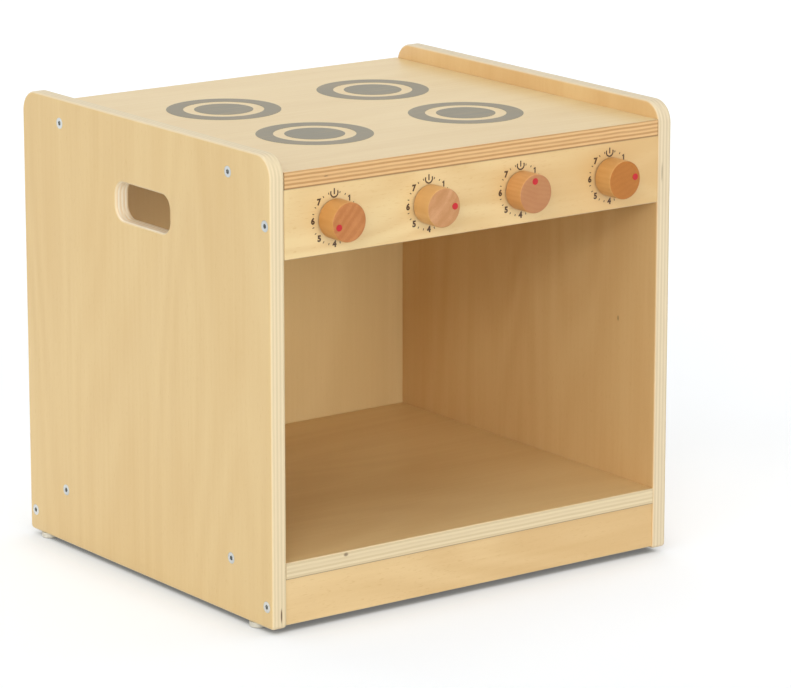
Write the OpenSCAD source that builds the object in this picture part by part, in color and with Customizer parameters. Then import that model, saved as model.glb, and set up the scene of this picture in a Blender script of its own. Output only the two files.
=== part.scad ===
// Child's play stove and oven: an open plywood box with four printed rings
// on top and four wooden knobs that turn on the front fascia.
// Sizes are millimetres. +Z is up, the open front faces -Y and +X is to the
// right of someone standing in front of it. The origin is on the floor,
// in the middle of the width and of the depth with the knobs included.

/* [Cabinet] */
// Width over the two side boards
body_w = 440; // [360:1:560]
// Depth of the side boards
body_d = 400; // [320:1:520]
// Height of the side boards
side_h = 418; // [340:1:560]
// Thickness of every plywood board except the back
board_t = 15; // [14:0.5:21]
// Height of the side boards above the hob
lip_h = 15; // [6:0.5:30]
// How far the hob, fascia and shelf stand back from the side boards
front_setback = 1; // [0.2:0.1:4]
// Radius of the top corners of the side boards
top_corner_r = 20; // [8:0.5:30]
// Radius of the bottom corners of the side boards
low_corner_r = 4; // [3.5:0.5:6]
// Round-over along the edges of the side boards
edge_r = 2.5; // [1:0.1:3]

/* [Oven] */
// Height of the fascia that carries the knobs
fascia_h = 61.5; // [56:0.5:90]
// Height of the shelf's underside above the bottom of the side boards
shelf_up = 43.5; // [38:0.5:80]
// Gap between the plinths and the bottom of the side boards
plinth_gap = 2; // [0.5:0.5:6]
// How far the plinths stand back from the edges of the side boards
plinth_setback = 2; // [0.5:0.5:10]

/* [Back panel] */
// Thickness of the back panel
back_t = 5; // [3:0.5:7]
// How far the back panel stands in from the rear edges
back_setback = 5; // [4:0.5:12]
// Depth of the grooves that hold the back panel
groove_depth = 5; // [3:0.5:7]
// Gap between the back panel and each wall of its grooves
groove_clear = 0.2; // [0.1:0.05:0.5]

/* [Hand slots] */
// Width of a hand slot
slot_w = 88; // [70:1:110]
// Height of a hand slot
slot_h = 35; // [28:0.5:42]
// Corner radius of a hand slot
slot_r = 13; // [8:0.5:13.5]
// Middle of a hand slot below the top of the side board
slot_drop = 77.5; // [60:0.5:100]

/* [Knobs] */
// Diameter of a knob
knob_d = 35; // [28:0.5:38]
// Length of a knob
knob_len = 21.5; // [19:0.5:30]
// Round-over at both ends of a knob
knob_edge_r = 1.2; // [0.4:0.1:3]
// Axis of an outer knob from the side board beside it, before the row is shifted
knob_margin = 54; // [44:0.5:62]
// Shift of the row of knobs to the right of the middle of the fascia
knob_row_x = -1.8; // [-3:0.1:3]
// Diameter of the red dot on a knob
dot_d = 6; // [4:0.5:8]
// Distance of the red dot from the knob's axis
dot_off = 11.5; // [9:0.5:12]
// Thickness of the paint of the red dot
dot_t = 0.3; // [0.1:0.05:0.6]
// Clockwise turn of each dot from the top
dot_turn = [253, 89, 354, 80];

/* [Spindles] */
// Diameter of the threaded spindle of a knob
spindle_d = 6; // [5:0.5:8]
// Radial running clearance of a spindle in the fascia
spindle_clear = 0.08; // [0.02:0.01:0.1]
// Depth of a spindle in its knob
spindle_grip = 15; // [10:0.5:16]
// Length of a spindle that shows past its nut
spindle_tail = 2.5; // [1:0.5:6]
// Thickness of the sliding washer behind a knob
front_washer_t = 0.8; // [0.5:0.1:2]
// Diameter of the sliding washer behind a knob
front_washer_d = 22; // [16:0.5:26]
// Thickness of the steel washer under the nut
back_washer_t = 1.6; // [1:0.1:2.5]
// Diameter of the steel washer under the nut
back_washer_d = 12; // [12:0.5:20]
// Width of the nut across its flats
nut_af = 10; // [10:0.5:13]
// Height of the nut with its locking collar
nut_h = 6; // [5:0.5:9]
// Play between a washer and the fascia
washer_play = 0.2; // [0.1:0.05:0.4]
// Gap in threads and in the bores of the washers
thread_clear = 0.05; // [0.02:0.01:0.1]

/* [Prints] */
// Outer diameter of a printed hob ring
ring_d = 105; // [80:1:120]
// Inner diameter of a printed hob ring
ring_hole_d = 74; // [64:1:78]
// Diameter of the printed disc inside a ring
disc_d = 54; // [30:1:60]
// Middle of a hob ring from the side board beside it
ring_side = 121.25; // [65:0.25:125]
// Middle of a hob ring from the nearest edge of the side boards, front or rear
ring_end = 128; // [65:0.5:135]
// Thickness of a print
print_t = 0.15; // [0.1:0.05:0.3]
// Radius of the circle of scale marks round a knob
tick_r = 22.8; // [21:0.1:24]
// Length of a scale mark
tick_len = 1.5; // [1:0.1:3]
// Width of a scale mark
tick_w = 0.5; // [0.3:0.1:1]

/* [Screws and dowels] */
// Diameter of a screw's shoulder
screw_d = 7; // [5:0.5:8]
// Diameter of a screw's thread
thread_d = 6.4; // [4:0.1:6.4]
// Length of a screw with its head
screw_len = 50; // [40:1:60]
// Diameter of a screw's countersunk head
screw_head_d = 10; // [9:0.5:12]
// Width of the hexagon socket in a screw's head
socket_af = 4; // [3:0.5:5]
// Depth of the hexagon socket
socket_depth = 3; // [2:0.5:4]
// Radial gap round a screw or a dowel
wood_clear = 0.05; // [0.02:0.01:0.2]
// Distance of the hob and shelf screws from the front and rear edges
screw_inset = 64; // [50:1:90]
// Height of the plinth screws above the bottom of the side boards
plinth_screw_up = 19.5; // [15:0.5:22]
// Distance of a dowel above the screw beside it
dowel_above = 13; // [12:0.5:14]
// Diameter of a dowel
dowel_d = 8; // [6:0.5:8]
// Length of a dowel
dowel_len = 30; // [20:1:40]
// Depth of a dowel in a side board
dowel_depth = 10; // [6:0.5:11]

/* [Glides] */
// Diameter of a floor glide
glide_d = 15; // [12:0.5:18]
// Height of a floor glide
glide_h = 5; // [4:0.5:8]
// Round-over round the underside of a glide
glide_edge_r = 1.5; // [0.5:0.1:2]
// Middle of a front glide behind the front edge
glide_front = 34.5; // [20:0.5:60]
// Middle of a rear glide in front of the rear edge
glide_rear = 21.5; // [20:0.5:60]
// Diameter of the nail moulded into a glide
nail_d = 2.2; // [1.6:0.1:3]
// Length of the nail above the glide
nail_len = 16; // [10:1:25]
// Diameter of the head of the nail
nail_head_d = 8; // [5:0.5:9]

/* [Hidden] */
$fn = 96;
cut = 1;
socket_fn = 6;
nail_head_t = 1;
nail_floor = 1.5;
head_cone_h = 3;
head_rim_h = 0.6;
head_clear = 0.15;
hole_end = 1;
collar_share = 0.25;
knob_count = 4;
marks_per_turn = 24;
marks_per_label = 3;

// The knobs stand out past the side boards, so the cabinet sits a little
// behind the middle of the whole depth
knob_stand = washer_play + front_washer_t + knob_len + dot_t;
reach = max(0, knob_stand - front_setback);
front_y = (reach - body_d) / 2;
rear_y = front_y + body_d;
mid_y = front_y + body_d / 2;
inner_w = body_w - 2 * board_t;
inner_d = body_d - front_setback;

base_z = glide_h;
top_z = base_z + side_h;
hob_z = top_z - lip_h;
hob_under_z = hob_z - board_t;
fascia_z = hob_under_z - fascia_h;
shelf_under_z = base_z + shelf_up;
shelf_z = shelf_under_z + board_t;
plinth_z = base_z + plinth_gap;
plinth_h = shelf_under_z - plinth_z;

face_y = front_y + front_setback;
plinth_y = front_y + plinth_setback;
rail_y = rear_y - plinth_setback - board_t;
back_y = rear_y - back_setback - back_t;
panel_tuck = groove_depth - groove_clear;
panel_z = shelf_z - panel_tuck;
panel_h = hob_under_z + panel_tuck - panel_z;

knob_z = fascia_z + fascia_h / 2;
knob_back_y = face_y - washer_play - front_washer_t;
knob_face_y = knob_back_y - knob_len;
fascia_back_y = face_y + board_t;
nut_y = fascia_back_y + washer_play + back_washer_t;

// Places of the screws on a side board: distance back and height
plinth_screw_z = base_z + plinth_screw_up;
fascia_screw = [face_y + board_t / 2, knob_z];
plinth_screw = [plinth_y + board_t / 2, plinth_screw_z];
rail_screw = [rail_y + board_t / 2, plinth_screw_z];
panel_ys = [front_y + screw_inset, rear_y - screw_inset];
hob_screws = [for (y = panel_ys) [y, hob_z - board_t / 2]];
shelf_screws = [for (y = panel_ys) [y, shelf_z - board_t / 2]];
screw_places = concat(hob_screws, shelf_screws, [fascia_screw, plinth_screw, rail_screw]);
dowel_places = [for (s = [fascia_screw, plinth_screw, rail_screw]) s + [0, dowel_above]];
glide_ys = [front_y + glide_front, rear_y - glide_rear];

knob_pitch = (inner_w - 2 * knob_margin) / (knob_count - 1);
ring_x = inner_w / 2 - ring_side;
ring_y = body_d / 2 - ring_end;

function knob_x(i) = knob_row_x + (i - (knob_count - 1) / 2) * knob_pitch;
function numbered(name) = [for (i = [1:knob_count]) str(name, "_", i)];

// Half section of a board's rim, r wide, with both outer corners rounded
module rim(r) {
    intersection() {
        square([r, board_t]);
        union() {
            translate([-edge_r, 0]) square([r, board_t]);
            translate([0, edge_r]) square([r, board_t - 2 * edge_r]);
            for (y = [edge_r, board_t - edge_r]) translate([r - edge_r, y]) circle(edge_r);
        }
    }
}

// Half section of a slot through a board, r wide, that opens out in a round
// at each face of the board
module slot_rim(r) {
    translate([0, -cut]) square([r, board_t + 2 * cut]);
    for (m = [0, 1]) translate([0, m * board_t]) mirror([0, m])
        difference() {
            translate([0, -cut]) square([r + edge_r, edge_r + cut]);
            translate([r + edge_r, edge_r]) circle(edge_r);
        }
}

// A plate in the XY plane whose edges all have one section. The children are
// the half sections for the low corners, the high corners and the full width.
module swept_plate(w, h, r_low, r_high) {
    low_x = w / 2 - r_low;
    high_x = w / 2 - r_high;
    for (m = [0, 1]) mirror([m, 0, 0]) {
        translate([high_x, h - r_high]) rotate_extrude(angle = 90) children(1);
        translate([low_x, r_low]) rotate([0, 0, -90]) rotate_extrude(angle = 90) children(0);
        translate([0, h - r_high]) rotate([90, 0, 0]) linear_extrude(h - r_low - r_high) children(2);
    }
    translate([-high_x, h - r_high]) rotate([90, 0, 90]) linear_extrude(2 * high_x) children(1);
    translate([low_x, r_low]) rotate([90, 0, -90]) linear_extrude(2 * low_x) children(0);
}

// Turns a plate drawn in the XY plane up on its edge, its thickness along +X
module stand_up() {
    rotate([90, 0, 90]) children();
}

// Something drawn at the outer face of a side board, along +X into the wood
module at_side(side, place) {
    translate([side * body_w / 2, place[0], place[1]]) rotate([0, -side * 90, 0]) children();
}

// The whole cut for a screw, from the outer face inwards
module screw_hole() {
    translate([0, 0, -cut]) cylinder(h = head_rim_h + cut, d = screw_head_d + 2 * head_clear);
    translate([0, 0, head_rim_h])
        cylinder(h = head_cone_h, d1 = screw_head_d + 2 * head_clear, d2 = screw_d + 2 * wood_clear);
    cylinder(h = screw_len + hole_end, d = screw_d + 2 * wood_clear);
}

module screw() {
    thread_z = board_t + cut;
    tip_h = thread_d / 2;
    difference() {
        union() {
            cylinder(h = head_rim_h, d = screw_head_d);
            translate([0, 0, head_rim_h]) cylinder(h = head_cone_h, d1 = screw_head_d, d2 = screw_d);
            cylinder(h = thread_z, d = screw_d);
            cylinder(h = screw_len - tip_h, d = thread_d);
            translate([0, 0, screw_len - tip_h]) cylinder(h = tip_h, d1 = thread_d, d2 = thread_d / 2);
        }
        translate([0, 0, -cut])
            cylinder(h = socket_depth + cut, d = socket_af / cos(30), $fn = socket_fn);
    }
}

// Holes for all the screws and dowels of one side
module side_holes(side) {
    for (place = screw_places) at_side(side, place) screw_hole();
    for (place = dowel_places) at_side(side, place) translate([0, 0, board_t - dowel_depth - hole_end])
        cylinder(h = dowel_len + 2 * hole_end, d = dowel_d + 2 * wood_clear);
}

// Space for the back panel, with its clearance all round
module back_groove() {
    half = inner_w / 2 + groove_depth;
    translate([-half, back_y - groove_clear, panel_z - groove_clear])
        cube([2 * half, back_t + 2 * groove_clear, panel_h + 2 * groove_clear]);
}

// side is -1 for the left board and 1 for the right one
module side_board(side) {
    outer_x = side < 0 ? -body_w / 2 : body_w / 2 - board_t;
    difference() {
        translate([outer_x, mid_y, base_z]) stand_up()
            swept_plate(body_d, side_h, low_corner_r, top_corner_r) {
                rim(low_corner_r);
                rim(top_corner_r);
                rim(body_d / 2);
            }
        translate([outer_x, mid_y, top_z - slot_drop - slot_h / 2]) stand_up()
            swept_plate(slot_w, slot_h, slot_r, slot_r) {
                slot_rim(slot_r);
                slot_rim(slot_r);
                slot_rim(slot_w / 2);
            }
        side_holes(side);
        back_groove();
        for (y = glide_ys) translate([side * (body_w - board_t) / 2, y, base_z - cut])
            cylinder(h = nail_len + hole_end + cut, d = nail_d + 2 * wood_clear);
    }
}

module left_side() {
    color("#E4CB94") side_board(-1);
}

module right_side() {
    color("#E4CB94") side_board(1);
}

// A board between the side boards, with the holes of both sides cut away
module cross_board(y, z, d, h) {
    difference() {
        translate([-inner_w / 2, y, z]) cube([inner_w, d, h]);
        for (side = [-1, 1]) side_holes(side);
        back_groove();
    }
}

module hob_panel() {
    color("#E8D6AF") cross_board(face_y, hob_under_z, inner_d, board_t);
}

module shelf() {
    color("#DDBF88") cross_board(face_y, shelf_under_z, inner_d, board_t);
}

module fascia() {
    color("#E8CF98") difference() {
        cross_board(face_y, fascia_z, board_t, fascia_h);
        for (i = [0:knob_count - 1]) along_knob(i, face_y - cut)
            cylinder(h = board_t + 2 * cut, d = spindle_d + 2 * spindle_clear);
    }
}

module front_plinth() {
    color("#E2C48D") cross_board(plinth_y, plinth_z, board_t, plinth_h);
}

module rear_plinth() {
    color("#E2C48D") cross_board(rail_y, plinth_z, board_t, plinth_h);
}

module back_panel() {
    half = inner_w / 2 + panel_tuck;
    color("#E6CE98") translate([-half, back_y, panel_z]) cube([2 * half, back_t, panel_h]);
}

module side_screws(side) {
    color("#D6DADC") for (place = screw_places) at_side(side, place) screw();
}

module side_dowels(side) {
    color("#DDBB85") for (place = dowel_places) at_side(side, place)
        translate([0, 0, board_t - dowel_depth]) cylinder(h = dowel_len, d = dowel_d);
}

module left_screws() {
    side_screws(-1);
}

module right_screws() {
    side_screws(1);
}

module left_dowels() {
    side_dowels(-1);
}

module right_dowels() {
    side_dowels(1);
}

// Nail with its head inside the glide; gap widens it for the cavity
module nail(gap) {
    cylinder(h = base_z + nail_len - nail_floor + gap, d = nail_d + 2 * gap);
    translate([0, 0, -gap]) cylinder(h = nail_head_t + 2 * gap, d = nail_head_d + 2 * gap);
}

// side is -1 on the left and 1 on the right, end is 0 at the front, 1 at the rear
module glide(side, end) {
    flat_r = glide_d / 2 - glide_edge_r;
    color("white") translate([side * (body_w - board_t) / 2, glide_ys[end], 0]) difference() {
        rotate_extrude() {
            square([flat_r, glide_h]);
            translate([0, glide_edge_r]) square([glide_d / 2, glide_h - glide_edge_r]);
            translate([flat_r, glide_edge_r]) circle(glide_edge_r);
        }
        translate([0, 0, nail_floor]) nail(wood_clear);
    }
}

module glide_front_left() {
    glide(-1, 0);
}

module glide_front_right() {
    glide(1, 0);
}

module glide_rear_left() {
    glide(-1, 1);
}

module glide_rear_right() {
    glide(1, 1);
}

module glide_nails() {
    color("silver") for (side = [-1, 1], y = glide_ys)
        translate([side * (body_w - board_t) / 2, y, nail_floor]) nail(0);
}

module at_rings() {
    for (sx = [-1, 1], sy = [-1, 1])
        translate([sx * ring_x, mid_y + sy * ring_y, hob_z]) children();
}

module hob_rings() {
    color("#8F8A82") at_rings() difference() {
        cylinder(h = print_t, d = ring_d);
        translate([0, 0, -cut]) cylinder(h = print_t + 2 * cut, d = ring_hole_d);
    }
}

module hob_discs() {
    color("#8C8B80") at_rings() cylinder(h = print_t, d = disc_d);
}

// Two marks between each pair of the eight labels of every dial
module dial_marks() {
    step = 360 / marks_per_turn;
    color("#4A3020") for (i = [0:knob_count - 1], k = [0:marks_per_turn - 1])
        if (k % marks_per_label != 0)
            translate([knob_x(i), face_y, knob_z]) rotate([0, k * step, 0])
                translate([-tick_w / 2, -print_t, tick_r - tick_len / 2]) cube([tick_w, print_t, tick_len]);
}

// Drawn along +Z, turned to point backwards along +Y from the given place
module along_knob(i, y) {
    translate([knob_x(i), y, knob_z]) rotate([-90, 0, 0]) children();
}

module knob(i) {
    r = knob_d / 2;
    e = knob_edge_r;
    color("#D9975A") along_knob(i, knob_face_y) difference() {
        rotate_extrude() {
            square([r - e, knob_len]);
            translate([0, e]) square([r, knob_len - 2 * e]);
            for (y = [e, knob_len - e]) translate([r - e, y]) circle(e);
        }
        translate([0, 0, knob_len - spindle_grip - hole_end])
            cylinder(h = spindle_grip + hole_end + cut, d = spindle_d + 2 * thread_clear);
    }
}

module dot(i) {
    turn = dot_turn[i];
    color("#D8262C") along_knob(i, knob_face_y - dot_t)
        translate([dot_off * sin(turn), -dot_off * cos(turn), 0]) cylinder(h = dot_t, d = dot_d);
}

module spindle(i) {
    start = knob_back_y - spindle_grip;
    color("silver") along_knob(i, start)
        cylinder(h = nut_y + nut_h + spindle_tail - start, d = spindle_d);
}

module washer(d, t) {
    difference() {
        cylinder(h = t, d = d);
        translate([0, 0, -cut]) cylinder(h = t + 2 * cut, d = spindle_d + 2 * thread_clear);
    }
}

module front_washer(i) {
    color("white") along_knob(i, knob_back_y) washer(front_washer_d, front_washer_t);
}

module back_washer(i) {
    color("silver") along_knob(i, nut_y - back_washer_t) washer(back_washer_d, back_washer_t);
}

// Hexagon nut with the round collar of its nylon insert at the rear
module lock_nut(i) {
    collar_h = nut_h * collar_share;
    color("silver") along_knob(i, nut_y) difference() {
        union() {
            cylinder(h = nut_h - collar_h, d = nut_af / cos(30), $fn = socket_fn);
            cylinder(h = nut_h, d = nut_af);
        }
        translate([0, 0, -cut]) cylinder(h = nut_h + 2 * cut, d = spindle_d + 2 * thread_clear);
    }
}

left_side();
right_side();
hob_panel();
shelf();
back_panel();
fascia();
front_plinth();
rear_plinth();
left_screws();
right_screws();
left_dowels();
right_dowels();
glide_front_left();
glide_front_right();
glide_rear_left();
glide_rear_right();
glide_nails();
hob_rings();
hob_discs();
dial_marks();
for (i = [0:knob_count - 1]) {
    knob(i);
    dot(i);
    spindle(i);
    front_washer(i);
    back_washer(i);
    lock_nut(i);
}
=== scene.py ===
import math

import bmesh
import bpy
from mathutils import Matrix, Vector


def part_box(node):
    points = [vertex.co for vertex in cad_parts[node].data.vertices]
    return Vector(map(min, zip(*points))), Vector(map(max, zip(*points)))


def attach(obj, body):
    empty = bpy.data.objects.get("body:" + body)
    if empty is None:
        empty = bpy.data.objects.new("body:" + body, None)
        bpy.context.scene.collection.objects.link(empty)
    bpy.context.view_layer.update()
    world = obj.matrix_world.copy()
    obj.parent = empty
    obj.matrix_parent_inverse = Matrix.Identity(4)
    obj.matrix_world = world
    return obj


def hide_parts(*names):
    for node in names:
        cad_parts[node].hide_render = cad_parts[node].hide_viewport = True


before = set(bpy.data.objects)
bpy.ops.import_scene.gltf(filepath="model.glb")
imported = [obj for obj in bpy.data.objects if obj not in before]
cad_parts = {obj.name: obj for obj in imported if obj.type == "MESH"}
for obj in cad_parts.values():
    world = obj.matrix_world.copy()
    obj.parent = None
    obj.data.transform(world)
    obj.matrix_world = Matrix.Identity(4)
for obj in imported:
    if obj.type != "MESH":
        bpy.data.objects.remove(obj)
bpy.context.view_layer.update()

MM = 0.001
X, Y, Z = 0, 1, 2
DIALS = (1, 2, 3, 4)


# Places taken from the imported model

def middle_of(node_name):
    """The centre of a CAD node."""
    low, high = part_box(node_name)
    return (low + high) / 2


left_low, left_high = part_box("left_side")
right_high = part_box("right_side")[1]
hob_low, hob_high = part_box("hob_panel")
fascia_low, fascia_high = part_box("fascia")
shelf_low, shelf_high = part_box("shelf")
front_y = left_low.y
board_face_y = fascia_low.y
knob_middles = [middle_of(f"knob_{dial}") for dial in DIALS]


# Small helpers

def colour(hex_code):
    """An sRGB hex colour as the linear values that Blender works in."""
    linear = []
    for place in (1, 3, 5):
        part = int(hex_code[place:place + 2], 16) / 255
        if part <= 0.04045:
            linear.append(part / 12.92)
        else:
            linear.append(((part + 0.055) / 1.055) ** 2.4)
    return (*linear, 1.0)


def add(tree, kind, inputs=(), **settings):
    """Adds one node, sets its properties, and fills or links its inputs, which are given in order
    or by name. A node stands for its first output in use, and a list is linked to one input."""
    new = tree.nodes.new(kind)
    for name, value in settings.items():
        setattr(new, name, value)
    pairs = inputs.items() if isinstance(inputs, dict) else enumerate(inputs)
    for name, given in pairs:
        for value in given if isinstance(given, list) else [given]:
            if isinstance(value, bpy.types.Node):
                value = next(output for output in value.outputs if output.enabled)
            if isinstance(value, bpy.types.NodeSocket):
                tree.links.new(value, new.inputs[name])
            else:
                new.inputs[name].default_value = value
    return new


def new_material(name):
    """A material with an empty tree."""
    material = bpy.data.materials.new(name)
    material.use_nodes = True
    material.node_tree.nodes.clear()
    return material, material.node_tree


def finish_material(tree, tone, rough, height, relief_strength, relief_depth, fixed):
    """Joins a colour, a roughness and a fine relief to one shader, beside its fixed values."""
    relief = add(
        tree,
        "ShaderNodeBump",
        {"Strength": relief_strength, "Distance": relief_depth, "Height": height},
    )
    varied = {"Base Color": tone, "Roughness": rough, "Normal": relief}
    shader = add(tree, "ShaderNodeBsdfPrincipled", {**varied, **fixed})
    add(tree, "ShaderNodeOutputMaterial", {"Surface": shader})


def stretched_noise(tree, where, cells, detail, seed):
    """Noise with its own number of cells per metre on each axis."""
    squeeze = add(
        tree,
        "ShaderNodeMapping",
        {"Vector": where, "Location": (seed, seed * 1.7, -seed), "Scale": cells},
    )
    return add(tree, "ShaderNodeTexNoise", {"Vector": squeeze, "Scale": 1.0, "Detail": detail})


def near(tree, where, centre, reach):
    """One close to a centre and nought outside a reach, which is given for each axis."""
    away = add(tree, "ShaderNodeVectorMath", [where, centre], operation="SUBTRACT")
    spread = add(tree, "ShaderNodeVectorMath", [away, reach], operation="DIVIDE")
    distance = add(tree, "ShaderNodeVectorMath", [spread], operation="LENGTH")
    return add(tree, "ShaderNodeMapRange", [distance, 1.0, 0.35], interpolation_type="SMOOTHSTEP")


def lengthwise(grain, along, across):
    """Cells per metre on each axis, from one value along the grain and another across it."""
    cells = [across, across, across]
    cells[grain] = along
    return tuple(cells)


# Pattern sizes, in cells per metre along the grain and across it

BROAD_TONE = (2.2, 11.0)  # clouds 450 mm long and 90 mm wide
FLAME_FADE = (4.0, 6.0)  # patches of 250 by 170 mm
STREAKS = (9.0, 240.0)  # 110 mm long and 4 mm apart
PORES = (160.0, 1500.0)  # 6 mm long and 0.7 mm wide, coarser than real pores so that they show
PLY_FIBRES = (900.0, 38.0)  # 1.1 mm through a ply and 26 mm along it
PLY_WOBBLE = (30.0, 30.0, 30.0)  # a ply wanders once in 33 mm
INK_STREAKS = (14.0, 420.0)  # 70 mm long and 2.4 mm apart
INK_CLOUDS = (18.0, 18.0, 18.0)  # 56 mm

# Pattern sizes in a knob on X, Y and Z, in cells per metre, with the grain along Y

RING_DRIFT = (45.0, 8.0, 45.0)  # rings waver once in 22 mm
BEECH_CLOUDS = (60.0, 20.0, 60.0)  # 17 mm wide and 50 mm long
BEECH_GRIT = (900.0, 300.0, 900.0)  # 1.1 mm wide and 3.3 mm long, coarser than pores so that it shows
BEECH_FLECKS = (700.0, 60.0, 700.0)  # 1.4 mm wide and 17 mm long, coarser than real rays so that they show
GLOSS_GRIT = (1200.0, 1200.0, 1200.0)  # 0.8 mm, coarser than a real coat's grain so that it shows

FLAME_STEPS = 60.0  # radians of flame over the whole range of its noise
PITH_AWAY = 70 * MM  # from a knob's middle
BAND_AWAY = 68 * MM  # from the pith, so close to the middle
# Brown of knots and ply gaps, also used for painted shade along the seams between boards
KNOT_AND_SEAM_SHADE_BROWN = "#5A3A20"
WOOD_RELIEF = 0.04 * MM
LACQUERED = {"IOR": 1.5}


# Materials

def birch_plywood(
    name, board, through, grain, face, late, pale_ply, dark_ply,
    plies=7, skin=1.0, seed=0.0, marks_and_shade=(), figure=0.16, flecks=0.35, uneven=0.5, own_tone=0.35,
    darker_along=0.0, figure_long=1.6, figure_wide=9.0, slot_painted_light=None,
):
    """Birch plywood under a satin lacquer, as a rule seven plies of 1.9 mm between two face
    veneers of 1 mm. It gives the eye pale, even, faintly flamed faces, and edges striped by plies
    that show long grain and end grain in turn."""
    material, tree = new_material(name)
    place = add(tree, "ShaderNodeTexCoord")
    where = place.outputs["Object"]
    spot = add(tree, "ShaderNodeSeparateXYZ", [where])
    turned = add(tree, "ShaderNodeSeparateXYZ", [place.outputs["Normal"]]).outputs
    facing = add(tree, "ShaderNodeMath", [turned[through], turned[through]], operation="MULTIPLY")
    ending = add(tree, "ShaderNodeMath", [turned[grain], turned[grain]], operation="MULTIPLY")

    # The face veneer: broad tone, rotary-cut flame, fine streaks and short pores
    broad = stretched_noise(tree, where, lengthwise(grain, *BROAD_TONE), 2.0, seed)
    figure_cells = lengthwise(grain, figure_long, figure_wide)
    flame = stretched_noise(tree, where, figure_cells, 1.0, seed + 3.1)
    flame = add(tree, "ShaderNodeMath", [flame, FLAME_STEPS], operation="MULTIPLY")
    flame = add(tree, "ShaderNodeMath", [flame], operation="SINE")
    flame_fade = stretched_noise(tree, where, lengthwise(grain, *FLAME_FADE), 1.0, seed + 5.3)
    flame = add(tree, "ShaderNodeMath", [flame, flame_fade], operation="MULTIPLY")
    streak = stretched_noise(tree, where, lengthwise(grain, *STREAKS), 4.0, seed + 7.9)
    fleck = add(tree, "ShaderNodeMath", [streak, 0.5], operation="SUBTRACT")
    pore = stretched_noise(tree, where, lengthwise(grain, *PORES), 0.0, seed + 9.7)
    pore = add(tree, "ShaderNodeMapRange", [pore, 0.69, 0.8], interpolation_type="SMOOTHSTEP")
    tone = add(tree, "ShaderNodeMath", [broad, 0.9, 0.05], operation="MULTIPLY_ADD")
    tone = add(
        tree, "ShaderNodeMath", [spot.outputs[grain], darker_along, tone], operation="MULTIPLY_ADD",
    )
    tone = add(tree, "ShaderNodeMath", [flame, figure, tone], operation="MULTIPLY_ADD")
    tone = add(tree, "ShaderNodeMath", [fleck, flecks, tone], operation="MULTIPLY_ADD")
    tone = add(tree, "ShaderNodeMath", [pore, 0.3, tone], operation="MULTIPLY_ADD")
    tone = add(tree, "ShaderNodeMapRange", [tone, 0.0, 1.0], interpolation_type="SMOOTHSTEP")
    veneer = add(tree, "ShaderNodeMix", {0: tone, 6: colour(face), 7: colour(late)}, data_type="RGBA")
    rounding = add(
        tree, "ShaderNodeMapRange", [facing, 0.95, 0.5, 0.0, 0.8], interpolation_type="SMOOTHSTEP",
    )
    veneer = add(tree, "ShaderNodeMix", {0: rounding, 6: veneer, 7: colour(pale_ply)}, data_type="RGBA")

    # The plies, counted by depth in mm below the face, each a little wavy and of its own tone
    low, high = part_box(board)
    thickness = (high[through] - low[through]) / MM
    ply_thickness = (thickness - 2 * skin) / plies
    depth = add(tree, "ShaderNodeMath", [spot.outputs[through], low[through]], operation="SUBTRACT")
    depth = add(tree, "ShaderNodeMath", [depth, 1000.0], operation="MULTIPLY")
    wobble = stretched_noise(tree, where, PLY_WOBBLE, 2.0, seed + 2.3)
    wobble = add(tree, "ShaderNodeMath", [wobble, 0.5], operation="SUBTRACT")
    depth = add(tree, "ShaderNodeMath", [wobble, uneven, depth], operation="MULTIPLY_ADD")
    count = add(tree, "ShaderNodeMath", [depth, skin], operation="SUBTRACT")
    count = add(tree, "ShaderNodeMath", [count, ply_thickness], operation="DIVIDE")
    wave = add(tree, "ShaderNodeMath", [count, math.pi], operation="MULTIPLY")
    wave = add(tree, "ShaderNodeMath", [wave], operation="SINE")
    end_grain = add(tree, "ShaderNodeMapRange", [wave, -0.45, 0.45], interpolation_type="SMOOTHSTEP")
    long_grain = add(tree, "ShaderNodeMath", [1.0, end_grain], operation="SUBTRACT")
    turn = add(tree, "ShaderNodeMix", {0: ending, 2: end_grain, 3: long_grain}, data_type="FLOAT")
    own = add(tree, "ShaderNodeMath", [count], operation="FLOOR")
    own = add(tree, "ShaderNodeTexWhiteNoise", {"W": own}, noise_dimensions="1D")
    own = add(tree, "ShaderNodeMath", [own, 0.5], operation="SUBTRACT")
    fibre = stretched_noise(tree, where, lengthwise(through, *PLY_FIBRES), 3.0, seed + 4.4)
    fibre = add(tree, "ShaderNodeMath", [fibre, 0.5], operation="SUBTRACT")
    tone = add(tree, "ShaderNodeMath", [own, own_tone, turn], operation="MULTIPLY_ADD")
    tone = add(tree, "ShaderNodeMath", [fibre, 0.9, tone], operation="MULTIPLY_ADD")
    tone = add(tree, "ShaderNodeMapRange", [tone, 0.0, 1.0], interpolation_type="SMOOTHSTEP")
    core_ends = {6: colour(pale_ply), 7: colour(dark_ply)}
    core = add(tree, "ShaderNodeMix", {0: tone, **core_ends}, data_type="RGBA")
    # Painted light: the hand slots' walls take paler tones than the other edges
    if slot_painted_light:
        slot_lit_pale, slot_lit_dark, centre, reach = slot_painted_light
        slot_lit_ends = {6: colour(slot_lit_pale), 7: colour(slot_lit_dark)}
        cut = add(tree, "ShaderNodeMix", {0: tone, **slot_lit_ends}, data_type="RGBA")
        in_slot = near(tree, where, centre, reach)
        core = add(tree, "ShaderNodeMix", {0: in_slot, 6: core, 7: cut}, data_type="RGBA")

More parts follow.
